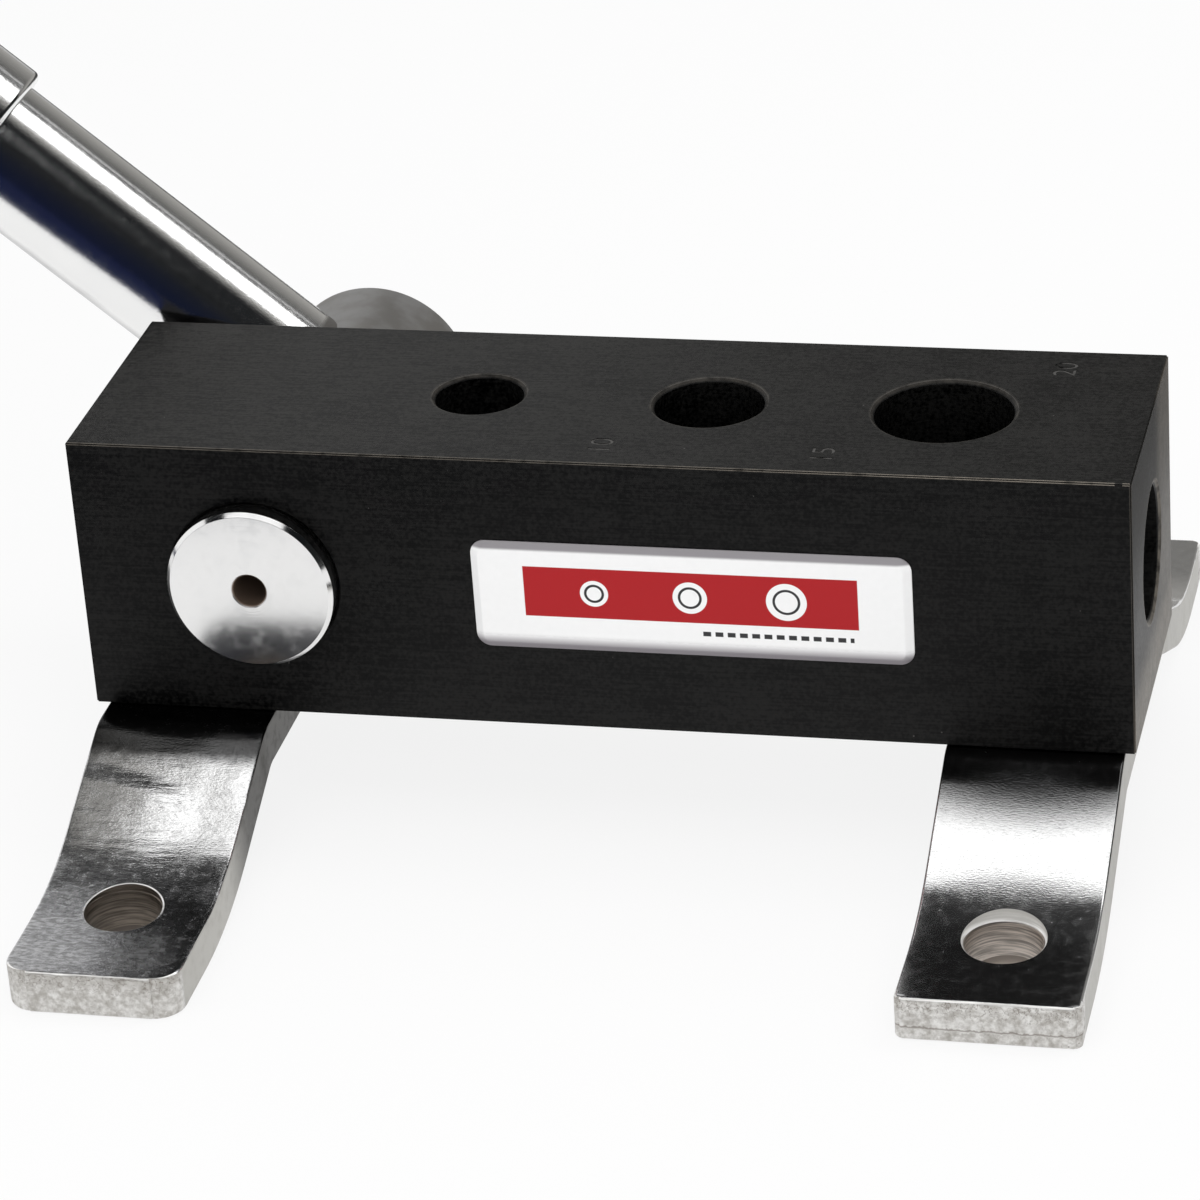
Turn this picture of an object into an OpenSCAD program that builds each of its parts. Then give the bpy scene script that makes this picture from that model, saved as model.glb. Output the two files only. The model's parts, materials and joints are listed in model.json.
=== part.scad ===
// Bench pipe notcher: a lever turns an eccentric shaft, which slides a stepped ram across
// three pipe holes and shears a saddle into the end of the pipe.
// Frame: +X along the block to the large hole, +Y to the back, +Z up, bench at Z = 0,
// and X = Y = 0 under the middle of the block.

/* [Die block] */
// Length of the block
block_length = 210; // [206:1:230]
// Depth of the block, front to back
block_width = 58; // [52:1:66]
// Height of the block
block_height = 58; // [56:1:70]
// Chamfer along the edges of the block
block_edge = 0.6; // [0.3:0.1:1]
// Right end of the block to the axis of the large pipe hole
end_to_large_hole = 40; // [39:1:44]
// Distance between neighbouring pipe holes
hole_pitch = 46.5; // [45:0.5:48]
// Left end of the block to the shaft axis
end_to_shaft = 36; // [34:1:39]
// Chamfer at the mouth of each bore
mouth_chamfer = 0.8; // [0.4:0.1:1.2]

/* [Pipes] */
// Outside diameter of the small pipe
small_pipe_d = 17.2; // [16.5:0.1:18]
// Outside diameter of the middle pipe
middle_pipe_d = 21.3; // [20:0.1:22.5]
// Outside diameter of the large pipe
large_pipe_d = 26.9; // [25:0.1:28]
// Room on the diameter between a pipe and its hole
pipe_clearance = 0.5; // [0.3:0.1:0.9]
// Room on the length by which a slot of the ram is longer than its pipe hole
slot_room = 0.5; // [0.4:0.1:1]

/* [Ram] */
// Depth of the slot floors below the ram axis
slot_floor = 1; // [0.5:0.1:2]
// Right end of the block to the end of the ram
ram_recess = 8; // [7:0.5:12]
// Large hole axis to the ram guide screw
guide_offset = 10; // [9:0.5:12]
// Diameter of the ram guide screw
guide_screw_d = 8; // [6:1:10]
// Diameter of the dog points of the guide and retainer screws
dog_d = 4.5; // [4:0.5:5]
// Depth of the keyway in the ram
keyway_depth = 3.5; // [2.5:0.5:4]
// Thickness of the yoke keeper
keeper_length = 10; // [8:0.5:11]
// Diameter of the keeper screw
keeper_screw_d = 4; // [3:0.5:4]
// Length of the keeper screw in the ram
keeper_screw_grip = 11; // [9:0.5:12]
// Diameter of the plug in the left end
plug_d = 22; // [20:1:26]
// Thickness of the plug
plug_length = 8; // [6:0.5:9]

/* [Shaft] */
// Diameter of the shaft journals
shaft_d = 34; // [33:0.5:36]
// How far the shaft stands out of the front face
shaft_proud = 4; // [2:0.5:6]
// Diameter of the eccentric
eccentric_d = 14; // [13:0.5:15]
// Throw of the eccentric
eccentric_throw = 7; // [6.5:0.1:7.4]
// Diameter of the hole in the shaft's front end
centre_hole_d = 6.6; // [5:0.2:9]
// Depth of the hole in the shaft's front end
centre_hole_depth = 12; // [8:1:14]
// Diameter of the hub
hub_d = 40; // [38:1:46]
// Length of the hub
hub_length = 38.5; // [36:0.5:44]
// Diameter of the shaft's tail in the hub
tail_d = 24; // [22:0.5:25]
// Chamfer on the ends of the shaft and the hub
turned_edge = 0.8; // [0.4:0.1:1.5]
// Thickness of the thrust washer
thrust_washer_t = 1.5; // [1:0.25:2.5]
// Diameter of the shaft retainer screw
retainer_d = 6; // [5.5:0.5:8]
// Depth of the retainer groove
groove_depth = 2.5; // [1.5:0.5:3]
// Back face of the block to the retainer groove
groove_offset = 11; // [9:0.5:13]

/* [Lever] */
// Angle of the lever above level in the pose shown
lever_angle = 40; // [30:1:50]
// How far the lever turns either way from the pose shown
lever_swing = 40; // [30:1:40]
// Back face of the block to the lever axis
lever_offset = 17; // [16:0.5:19]
// Diameter of the stub
stub_d = 28; // [24:0.5:32]
// Shaft axis to the far end of the stub
stub_reach = 165; // [140:1:200]
// Diameter of the spigot that enters the hub
spigot_d = 16; // [14:1:18]
// Shaft axis to the foot of the spigot
spigot_foot = 5; // [3:0.5:7]
// Diameter of the lock pin
lock_pin_d = 5; // [4:0.5:5]
// Shaft axis to the lock pin
lock_pin_reach = 16; // [15.5:0.1:16]
// Wall of the handle tube
tube_wall = 3.1; // [2.3:0.1:4]
// Shaft axis to the near end of the handle tube
tube_start = 94.7; // [85:0.5:110]
// Length of the handle tube
tube_length = 385; // [250:1:600]
// Rounding allowance on the ends of the handle tube
tube_edge = 1; // [0.4:0.1:1.4]
// Near end of the handle tube to its set screw
set_screw_offset = 28; // [20:1:40]
// Diameter of the handle set screw
set_screw_d = 8; // [6:1:10]
// Length of the grip
grip_length = 115; // [90:1:150]
// Wall of the grip
grip_wall = 2.5; // [1.5:0.25:4]

/* [Feet] */
// Width of the foot straps
foot_width = 35; // [30:1:38]
// Thickness of the foot straps
foot_t = 9; // [8:0.5:11]
// Height that the straps lift the block above the tabs
foot_drop = 16.5; // [14:0.5:22]
// Radius of the bends at mid thickness
bend_r = 19; // [16:0.5:21]
// Steepest slope of the straps
bend_slope = 37; // [34:1:42]
// Length of the flat seat under the block, from the strap's middle
foot_seat = 29.5; // [27:0.5:31]
// Left foot: how far its middle lies in front of the block's middle
left_foot_shift = 5; // [0:0.5:8]
// Left foot: length of its flat tabs
left_tab_length = 36; // [26:0.5:50]
// Left foot: start of a tab to its bench hole
left_hole_offset = 12; // [9:0.5:15]
// Right foot: length of its flat tabs
right_tab_length = 31; // [22:0.5:45]
// Right foot: start of a tab to its bench hole
right_hole_offset = 9; // [9:0.5:12]
// Left foot: distance in from the block's end
left_foot_inset = 2.5; // [1:0.5:3.5]
// Right foot: distance in from the block's end
right_foot_inset = 2; // [1:0.5:3.5]
// Corner radius of the left foot's tabs
left_corner_r = 5; // [2:0.5:8]
// Corner radius of the right foot's tabs
right_corner_r = 1; // [0.5:0.5:8]
// Diameter of the bench holes
bench_hole_d = 15; // [11:0.5:15.5]
// Chamfer of the bench holes
bench_hole_chamfer = 0.75; // [0.25:0.25:1]
// Diameter of the screws that hold the feet
foot_screw_d = 8; // [6:1:10]
// Depth of those screws in the block
foot_screw_grip = 10; // [8:0.5:10.5]
// Distance between the two screws of a foot
foot_screw_pitch = 32; // [26:1:36]
// Thickness of the foot washers
foot_washer_t = 1.6; // [1:0.2:2.4]
// Thickness of the lock washers under the screw heads
lock_washer_t = 2; // [1.2:0.2:2.6]
// Width of the split in a lock washer
lock_washer_split = 1; // [0.6:0.1:1.6]

/* [Nameplate] */
// Length of the plate
plate_length = 87; // [60:1:90]
// Height of the plate
plate_height = 23.2; // [18:0.2:28]
// Thickness of the plate
plate_t = 1.2; // [0.8:0.1:2]
// Corner radius of the plate
plate_corner_r = 3; // [1:0.5:5]
// Middle of the plate past the axis of the middle hole
plate_offset = 0.7; // [-2:0.1:3]

/* [Clearances] */
// Radial room of a turning or sliding fit
running_gap = 0.04; // [0.02:0.01:0.08]
// Radial room of a screwed or seated piece
seat_gap = 0.05; // [0.02:0.01:0.08]
// Room between moving faces that don't guide each other
face_gap = 0.3; // [0.2:0.05:0.5]
// Longest travel of the ram either way
ram_travel = 4.6; // [4:0.1:5]

/* [Hidden] */
$fn = 96;
// Extra length of a cut past the face that it opens
past = 1;
// Proportions of screws, all to the screw's diameter
socket_share = 0.55;
socket_depth_share = 0.5;
hex_head_share = 1.875;
hex_head_height_share = 0.66;
washer_share = 2;
lock_washer_share = 1.6;
cap_head_share = 1.6;
cap_head_height_share = 0.8;

base_z = foot_drop + foot_t;
mid_z = base_z + block_height / 2;
top_z = base_z + block_height;
left_x = -block_length / 2;
right_x = block_length / 2;
front_y = -block_width / 2;
back_y = block_width / 2;

large_x = right_x - end_to_large_hole;
middle_x = large_x - hole_pitch;
small_x = middle_x - hole_pitch;
shaft_x = left_x + end_to_shaft;

small_hole_d = small_pipe_d + pipe_clearance;
middle_hole_d = middle_pipe_d + pipe_clearance;
large_hole_d = large_pipe_d + pipe_clearance;
// Each ram step is as thick as its pipe, so the saddle fits a pipe of the same size
small_ram_d = small_pipe_d;
middle_ram_d = middle_pipe_d;
large_ram_d = large_pipe_d;
// Ram shoulders lie half way between stations, and the bore shoulders a stroke further left
small_step_x = (small_x + middle_x) / 2;
large_step_x = (middle_x + large_x) / 2;
bore_step_room = ram_travel + 5 * face_gap;
ram_end_x = right_x - ram_recess;

// Yoke of the ram round the eccentric, which hangs straight down in the pose shown
yoke_gap = face_gap;
push_x = shaft_x + eccentric_d / 2 + yoke_gap;
pull_x = shaft_x - eccentric_d / 2 - yoke_gap;
lip_z = eccentric_d / 2 - eccentric_throw * cos(lever_swing) + face_gap;
lip_mid_z = (lip_z + small_ram_d / 2) / 2;
eccentric_half = small_ram_d / 2 + 3 * face_gap;

guide_x = large_x - guide_offset;
keyway_w = dog_d + face_gap;
keyway_half = ram_travel + dog_d / 2 + 2 * face_gap;
dog_room = 0.5;
// The plug takes the same key as a screw of this diameter, and keeps half its length behind it
plug_socket_screw_d = plug_length;
groove_y = back_y - groove_offset;
screw_recess = 1.5;

hub_y = back_y + thrust_washer_t + face_gap;
lever_y = back_y + lever_offset;
lock_pin_past = 4;
tube_od = stub_d + 2 * seat_gap + 2 * tube_wall;
tube_end = tube_start + tube_length;
dimple_depth = 1.5;
grip_end_t = 2 * grip_wall;
grip_edge = grip_wall / 2;

bend_link = (foot_drop - 2 * bend_r * (1 - cos(bend_slope))) / sin(bend_slope);
bend_run = 2 * bend_r * sin(bend_slope) + bend_link * cos(bend_slope);
tab_start = foot_seat + bend_run;
bend_steps = 10;
foot_screw_room = 1;
left_foot_x = left_x + left_foot_inset + foot_width / 2;
right_foot_x = right_x - right_foot_inset - foot_width / 2;
screw_head_d = foot_screw_d * hex_head_share;
screw_head_h = foot_screw_d * hex_head_height_share;
foot_washer_d = foot_screw_d * washer_share;
lock_washer_d = foot_screw_d * lock_washer_share;
// Depths below the block's underside: top of the lock washers and underside of the screw heads
lock_washer_depth = foot_t + foot_washer_t;
screw_head_depth = lock_washer_depth + lock_washer_t;

// Cylinder along X on the ram axis
module along_x(d, x0, x1) {
    translate([x0, 0, mid_z]) rotate([0, 90, 0]) cylinder(d = d, h = x1 - x0);
}

// Cylinder along Y through a point of the shaft's plane
module along_y(d, y0, y1, x = shaft_x, z = mid_z) {
    translate([x, y0, z]) rotate([-90, 0, 0]) cylinder(d = d, h = y1 - y0);
}

// Upright cylinder
module along_z(d, x, y, z0, z1) {
    translate([x, y, z0]) cylinder(d = d, h = z1 - z0);
}

// Moves pieces drawn along +Z at the origin to the lever: +Z runs out from the shaft axis
module on_lever() {
    translate([shaft_x, lever_y, mid_z]) rotate([0, lever_angle - 90, 0]) children();
}

// Countersink that opens a round mouth by the chamfer c, drawn with the mouth at Z = 0
module mouth(d, c) {
    translate([0, 0, -c]) cylinder(d1 = d, d2 = d + 2 * c, h = c);
    cylinder(d = d + 2 * c, h = past);
}

// Cut for a hex key, from the face at Z = 0 up into a screw of diameter d
module hex_socket(d) {
    translate([0, 0, -past])
        cylinder(d = d * socket_share, h = past + d * socket_depth_share, $fn = 6);
}

// Turned bar along +Z with chamfered ends
module turned_bar(d, length, edge) {
    rotate_extrude()
        polygon([[0, 0], [d / 2 - edge, 0], [d / 2, edge], [d / 2, length - edge],
                 [d / 2 - edge, length], [0, length]]);
}

// Square of sides w and h about the origin with its corners cut by c
module cut_corners(w, h, c) {
    polygon([[-w / 2 + c, -h / 2], [w / 2 - c, -h / 2], [w / 2, -h / 2 + c], [w / 2, h / 2 - c],
             [w / 2 - c, h / 2], [-w / 2 + c, h / 2], [-w / 2, h / 2 - c], [-w / 2, -h / 2 + c]]);
}

// Block blank with all twelve edges chamfered
module block_blank() {
    translate([0, 0, mid_z]) intersection() {
        translate([0, 0, -block_height / 2])
            linear_extrude(block_height) cut_corners(block_length, block_width, block_edge);
        rotate([90, 0, 0]) translate([0, 0, -block_width / 2])
            linear_extrude(block_width) cut_corners(block_length, block_height, block_edge);
        rotate([90, 0, 90]) translate([0, 0, -block_length / 2])
            linear_extrude(block_length) cut_corners(block_width, block_height, block_edge);
    }
}

// Stepped bore that guides the ram
module ram_bore() {
    along_x(small_ram_d + 2 * running_gap, left_x - past, small_step_x);
    along_x(middle_ram_d + 2 * running_gap, small_step_x - bore_step_room, large_step_x);
    along_x(large_ram_d + 2 * running_gap, large_step_x - bore_step_room, right_x + past);
    translate([right_x, 0, mid_z]) rotate([0, 90, 0])
        mouth(large_ram_d + 2 * running_gap, mouth_chamfer);
    along_x(plug_d + 2 * seat_gap, left_x - past, left_x + plug_length);
}

// Pipe hole from the top face down to the ram axis
module pipe_hole(d, x) {
    along_z(d, x, 0, mid_z, top_z + past);
    translate([x, 0, top_z]) mouth(d, mouth_chamfer);
}

// Places children at the two screws of each foot, on the block's underside
module at_foot_screws() {
    for (x = [left_foot_x, right_foot_x])
        for (side = [-1, 1])
            translate([x, side * foot_screw_pitch / 2, base_z]) children();
}

module die_block() {
    color("#2a2a2b") difference() {
        block_blank();
        ram_bore();
        pipe_hole(small_hole_d, small_x);
        pipe_hole(middle_hole_d, middle_x);
        pipe_hole(large_hole_d, large_x);
        along_y(shaft_d + 2 * running_gap, front_y - past, back_y + past);
        translate([shaft_x, front_y, mid_z]) rotate([90, 0, 0])
            mouth(shaft_d + 2 * running_gap, block_edge);
        at_foot_screws()
            translate([0, 0, -past])
                cylinder(d = foot_screw_d + 2 * seat_gap, h = foot_screw_grip + 2 * past);
        along_z(guide_screw_d + 2 * seat_gap, guide_x, 0, base_z - past, mid_z);
        translate([left_x - past, groove_y, mid_z]) rotate([0, 90, 0])
            cylinder(d = retainer_d + 2 * seat_gap, h = end_to_shaft + past);
    }
}

module nameplate() {
    plate_x = middle_x + plate_offset;
    wide = plate_length / 2 - plate_corner_r;
    high = plate_height / 2 - plate_corner_r;
    color("#f2f2f0") translate([plate_x, front_y, mid_z]) rotate([90, 0, 0]) {
        translate([-wide, -plate_height / 2, 0]) cube([2 * wide, plate_height, plate_t]);
        translate([-plate_length / 2, -high, 0]) cube([plate_length, 2 * high, plate_t]);
        for (x = [-wide, wide])
            for (z = [-high, high])
                translate([x, z, 0]) cylinder(r = plate_corner_r, h = plate_t);
    }
}

module bore_plug() {
    color("#3a3a3c") difference() {
        along_x(plug_d, left_x, left_x + plug_length);
        translate([left_x, 0, mid_z]) rotate([0, 90, 0]) hex_socket(plug_socket_screw_d);
    }
}

// Strap outlines are drawn flat: X runs out from the strap's middle, Y is up.
// Point of the upper bend at angle a, at height h above mid thickness
function upper_bend(a, h) =
    [foot_seat + (bend_r + h) * sin(a), base_z - foot_t / 2 - bend_r + (bend_r + h) * cos(a)];

// Point of the lower bend at angle a, at height h above mid thickness
function lower_bend(a, h) =
    [tab_start - (bend_r - h) * sin(a), foot_t / 2 + bend_r - (bend_r - h) * cos(a)];

// One long edge of a strap end, from the upper bend out to the end of the tab
function strap_edge(h, tab_length) = concat(
    [for (i = [0 : bend_steps]) upper_bend(i * bend_slope / bend_steps, h)],
    [for (i = [bend_steps : -1 : 0]) lower_bend(i * bend_slope / bend_steps, h)],
    [[tab_start + tab_length, foot_t / 2 + h]]);

function backwards(points) = [for (i = [len(points) - 1 : -1 : 0]) points[i]];
function mirrored(points) = [for (p = points) [-p[0], p[1]]];

module strap_outline(tab_length) {
    upper = strap_edge(foot_t / 2, tab_length);
    lower = strap_edge(-foot_t / 2, tab_length);
    polygon(concat(upper, backwards(lower), mirrored(lower), backwards(mirrored(upper))));
}

// Cuts the corners of the tab ends to a radius
module tab_corners(tab_length, r) {
    for (end = [0, 1])
        for (side = [0, 1])
            mirror([side, 0, 0]) mirror([0, end, 0])
                translate([foot_width / 2 - r, tab_start + tab_length - r, -past]) difference() {
                    cube([r + past, r + past, foot_t + 2 * past]);
                    cylinder(r = r, h = foot_t + 2 * past);
                }
}

// Foot strap across the block with its middle at x, y
module foot(x, y, tab_length, hole_offset, corner_r) {
    hole_reach = tab_start + hole_offset;
    color("#c9c9cb") difference() {
        translate([x, y, 0]) difference() {
            translate([-foot_width / 2, 0, 0]) rotate([90, 0, 90])
                linear_extrude(foot_width) strap_outline(tab_length);
            tab_corners(tab_length, corner_r);
        }
        for (side = [-1, 1]) {
            along_z(bench_hole_d, x, y + side * hole_reach, -past, base_z);
            translate([x, y + side * hole_reach, foot_t])
                mouth(bench_hole_d, bench_hole_chamfer);
        }
        at_foot_screws() translate([0, 0, -foot_t - past])
            cylinder(d = foot_screw_d + foot_screw_room, h = foot_t + 2 * past);
    }
}

module left_foot() {
    foot(left_foot_x, -left_foot_shift, left_tab_length, left_hole_offset, left_corner_r);
}

module right_foot() {
    foot(right_foot_x, 0, right_tab_length, right_hole_offset, right_corner_r);
}

module foot_screws() {
    color("#8d8f92") at_foot_screws() {
        translate([0, 0, -screw_head_depth])
            cylinder(d = foot_screw_d, h = screw_head_depth + foot_screw_grip);
        translate([0, 0, -screw_head_depth - screw_head_h])
            cylinder(d = screw_head_d, h = screw_head_h, $fn = 6);
    }
}

// Washer on a foot screw, with its top at the given depth below the block
module screw_washer(d, t, depth) {
    translate([0, 0, -depth - t]) difference() {
        cylinder(d = d, h = t);
        translate([0, 0, -past]) cylinder(d = foot_screw_d + 2 * seat_gap, h = t + 2 * past);
    }
}

module foot_washers() {
    color("#a5a7aa") at_foot_screws() screw_washer(foot_washer_d, foot_washer_t, foot_t);
}

module foot_lock_washers() {
    color("#77797c") at_foot_screws() difference() {
        screw_washer(lock_washer_d, lock_washer_t, lock_washer_depth);
        translate([0, -lock_washer_split / 2, -screw_head_depth - past])
            cube([lock_washer_d, lock_washer_split, lock_washer_t + 2 * past]);
    }
}

module thrust_washer() {
    color("#b08d4f") difference() {
        along_y(hub_d, back_y, back_y + thrust_washer_t);
        along_y(shaft_d + 2 * face_gap, back_y - past, back_y + thrust_washer_t + past);
    }
}

// Headless screw along +Z with a dog point and a hex socket at its foot
module dog_screw(d, length, dog_length) {
    difference() {
        cylinder(d = d, h = length);
        hex_socket(d);
    }
    translate([0, 0, length]) cylinder(d = dog_d, h = dog_length);
}

module shaft_retainer_screw() {
    length = end_to_shaft - shaft_d / 2 - face_gap - screw_recess;
    color("#4a4a4d") translate([left_x + screw_recess, groove_y, mid_z]) rotate([0, 90, 0])
        dog_screw(retainer_d, length, face_gap + groove_depth - dog_room);
}

module ram_guide_screw() {
    length = block_height / 2 - large_ram_d / 2 - running_gap - face_gap - screw_recess;
    color("#4a4a4d") translate([guide_x, 0, base_z + screw_recess])
        dog_screw(guide_screw_d, length, running_gap + face_gap + keyway_depth - dog_room);
}

// Slot milled across the ram, for the end of the pipe that comes through a hole of diameter hole_d
module ram_slot(hole_d, x) {
    length = hole_d + slot_room;
    translate([x - length / 2, -large_ram_d, mid_z - slot_floor])
        cube([length, 2 * large_ram_d, large_ram_d]);
}

module punch_ram() {
    keyway_z = mid_z - large_ram_d / 2 + keyway_depth;
    color("#9a9ca0") difference() {
        union() {
            along_x(small_ram_d, pull_x, small_step_x + past);
            along_x(middle_ram_d, small_step_x, large_step_x + past);
            along_x(large_ram_d, large_step_x, ram_end_x);
        }
        translate([pull_x - past, -small_ram_d, mid_z - small_ram_d])
            cube([push_x - pull_x + past, 2 * small_ram_d, small_ram_d + lip_z]);
        ram_slot(small_hole_d, small_x);
        ram_slot(middle_hole_d, middle_x);
        ram_slot(large_hole_d, large_x);
        translate([guide_x - keyway_half, -keyway_w / 2, keyway_z - large_ram_d])
            cube([2 * keyway_half, keyway_w, large_ram_d]);
        translate([pull_x - past, 0, mid_z + lip_mid_z]) rotate([0, 90, 0])
            cylinder(d = keeper_screw_d + 2 * seat_gap, h = keeper_screw_grip + 2 * past);
    }
}

module yoke_keeper() {
    color("#85878b") difference() {
        along_x(small_ram_d, pull_x - keeper_length, pull_x);
        translate([pull_x - keeper_length - past, 0, mid_z + lip_mid_z]) rotate([0, 90, 0])
            cylinder(d = keeper_screw_d + 2 * seat_gap, h = keeper_length + 2 * past);
    }
}

module keeper_screw() {
    head_height = keeper_screw_d * cap_head_height_share;
    color("#4a4a4d") translate([pull_x - keeper_length, 0, mid_z + lip_mid_z]) rotate([0, 90, 0]) {
        cylinder(d = keeper_screw_d, h = keeper_length + keeper_screw_grip);
        translate([0, 0, -head_height]) difference() {
            cylinder(d = keeper_screw_d * cap_head_share, h = head_height);
            hex_socket(keeper_screw_d);
        }
    }
}

// Bar through the hub beside the shaft's tail, for the lock pin and its hole
module lock_pin_bar(d, y0, y1) {
    along_y(d, y0, y1, shaft_x - lock_pin_reach * cos(lever_angle),
            mid_z + lock_pin_reach * sin(lever_angle));
}

// Hole for the stub's spigot, through the hub's wall and into the shaft's tail
module spigot_hole() {
    on_lever() translate([0, 0, spigot_foot - seat_gap])
        cylinder(d = spigot_d + 2 * seat_gap, h = hub_d);
}

module drive_shaft() {
    color("#d5d6d8") difference() {
        union() {
            translate([shaft_x, front_y - shaft_proud, mid_z]) rotate([-90, 0, 0])
                turned_bar(shaft_d, -eccentric_half - front_y + shaft_proud, turned_edge);
            along_y(eccentric_d, -eccentric_half - past, eccentric_half + past,
                    z = mid_z - eccentric_throw);
            along_y(shaft_d, eccentric_half, hub_y);
            translate([shaft_x, hub_y - past, mid_z]) rotate([-90, 0, 0])
                turned_bar(tail_d, hub_length + past - turned_edge, turned_edge);
        }
        along_y(centre_hole_d, front_y - shaft_proud - past,
                front_y - shaft_proud + centre_hole_depth);
        translate([shaft_x, front_y - shaft_proud, mid_z]) rotate([90, 0, 0])
            mouth(centre_hole_d, turned_edge / 2);
        difference() {
            along_y(shaft_d + 2 * past, groove_y - keyway_w / 2, groove_y + keyway_w / 2);
            along_y(shaft_d - 2 * groove_depth, groove_y - keyway_w, groove_y + keyway_w);
        }
        spigot_hole();
    }
}

module lever_hub() {
    color("#9c9c9a") difference() {
        translate([shaft_x, hub_y, mid_z]) rotate([-90, 0, 0])
            turned_bar(hub_d, hub_length, turned_edge);
        along_y(tail_d + 2 * seat_gap, hub_y - past, hub_y + hub_length + past);
        spigot_hole();
        lock_pin_bar(lock_pin_d + 2 * seat_gap,
                     lever_y - spigot_d / 2 - lock_pin_past - seat_gap,
                     hub_y + hub_length + past);
    }
}

// Bar across the lever at the handle set screw, from radius r0 to r1 on its upper side
module set_screw_bar(r0, r1, d = set_screw_d + 2 * seat_gap) {
    translate([r0, 0, tube_start + set_screw_offset]) rotate([0, 90, 0])
        cylinder(d = d, h = r1 - r0);
}

module lever_stub() {
    color("#dcdde0") difference() {
        union() {
            difference() {
                on_lever() turned_bar(stub_d, stub_reach, turned_edge);
                along_y(hub_d + 2 * seat_gap, lever_y - stub_d, lever_y + stub_d);
            }
            on_lever() translate([0, 0, spigot_foot]) cylinder(d = spigot_d, h = hub_d / 2);
        }
        lock_pin_bar(lock_pin_d + 2 * seat_gap, lever_y - stub_d, lever_y + stub_d);
        on_lever() set_screw_bar(stub_d / 2 - dimple_depth, tube_od);
    }
}

module stub_lock_pin() {
    color("#a9abaf") lock_pin_bar(lock_pin_d, lever_y - spigot_d / 2 - lock_pin_past,
                                  hub_y + hub_length - turned_edge);
}

module handle_tube() {
    color("#dcdde0") on_lever() difference() {
        translate([0, 0, tube_start]) turned_bar(tube_od, tube_length, tube_edge);
        translate([0, 0, tube_start - past])
            cylinder(d = tube_od - 2 * tube_wall, h = tube_length + 2 * past);
        set_screw_bar(stub_d / 2 - past, tube_od);
    }
}

module handle_set_screw() {
    screw_top = tube_od / 2 - seat_gap;
    color("#4a4a4d") on_lever() difference() {
        set_screw_bar(stub_d / 2 - dimple_depth + seat_gap, screw_top, set_screw_d);
        translate([screw_top, 0, tube_start + set_screw_offset]) rotate([0, -90, 0])
            hex_socket(set_screw_d);
    }
}

module handle_grip() {
    outer_d = tube_od + 2 * seat_gap + 2 * grip_wall;
    color("#1d1d1e") on_lever() translate([0, 0, tube_end - grip_length]) difference() {
        turned_bar(outer_d, grip_length + grip_end_t, grip_edge);
        translate([0, 0, -past])
            cylinder(d = tube_od + 2 * seat_gap, h = grip_length + past + seat_gap);
    }
}

die_block();
nameplate();
bore_plug();
left_foot();
right_foot();
foot_screws();
foot_washers();
foot_lock_washers();
thrust_washer();
shaft_retainer_screw();
ram_guide_screw();
punch_ram();
yoke_keeper();
keeper_screw();
drive_shaft();
lever_hub();
lever_stub();
stub_lock_pin();
handle_tube();
handle_set_screw();
handle_grip();
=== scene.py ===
import json
from math import ceil, cos, pi, radians, sin

import bmesh
import bpy
from mathutils import Euler, Matrix, Vector


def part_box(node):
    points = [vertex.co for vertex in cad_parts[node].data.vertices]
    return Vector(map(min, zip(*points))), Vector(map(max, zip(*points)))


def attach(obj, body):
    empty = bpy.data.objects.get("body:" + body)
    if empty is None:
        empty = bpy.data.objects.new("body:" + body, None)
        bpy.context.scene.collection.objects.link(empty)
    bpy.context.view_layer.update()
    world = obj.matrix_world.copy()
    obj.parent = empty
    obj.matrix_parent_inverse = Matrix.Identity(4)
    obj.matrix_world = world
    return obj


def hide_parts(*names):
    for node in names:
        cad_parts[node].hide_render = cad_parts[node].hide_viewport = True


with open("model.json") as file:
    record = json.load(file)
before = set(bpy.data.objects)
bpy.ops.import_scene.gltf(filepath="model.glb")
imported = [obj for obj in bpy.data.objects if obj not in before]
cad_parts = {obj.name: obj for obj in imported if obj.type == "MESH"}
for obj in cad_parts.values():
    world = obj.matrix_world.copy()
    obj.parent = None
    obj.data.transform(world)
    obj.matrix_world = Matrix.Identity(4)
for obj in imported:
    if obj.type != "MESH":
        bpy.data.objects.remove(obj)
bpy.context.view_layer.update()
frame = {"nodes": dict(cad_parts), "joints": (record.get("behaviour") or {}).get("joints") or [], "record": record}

MM = 0.001
MOUNTS = {mount["name"]: mount for mount in frame["record"]["mounts"]}
LEFT_BOLTS, RIGHT_BOLTS = MOUNTS["left_foot_bolts"], MOUNTS["right_foot_bolts"]
PIPE_HOLES = [MOUNTS[size + "_pipe_hole"] for size in ("small", "middle", "large")]
PIVOT = Vector(frame["joints"][0]["pos_m"])
BLOCK_LOW, BLOCK_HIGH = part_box("die_block")
BLOCK_MIDDLE = (BLOCK_LOW + BLOCK_HIGH) / 2

# Block: fine edges, and the pipe sizes stamped in its top beside the holes
BLOCK_CHAMFER = 0.6 * MM
BLOCK_FINE_EDGE = 0.28 * MM
STAMP_TYPE_SIZE = 6.44 * MM
STAMP_DEPTH = 0.12 * MM
STAMPS = {"10": Vector((3.4, -24.1, 83.5)) * MM,
          "15": Vector((47, -24.3, 83.5)) * MM,
          "20": Vector((88, 17.5, 83.5)) * MM}

# Dent knocked into the right front top corner of the block
DENT_R = 1.7 * MM
DENT_PLACE = Vector((102.6, -29.9, 84.2)) * MM

# Plate on the front of the block
PLATE_CORNER_R = 3 * MM
PLATE_WALL = 0.3 * MM
PLATE_BEVEL = 1.6 * MM
PLATE_EDGE_R = 0.25 * MM

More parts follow.
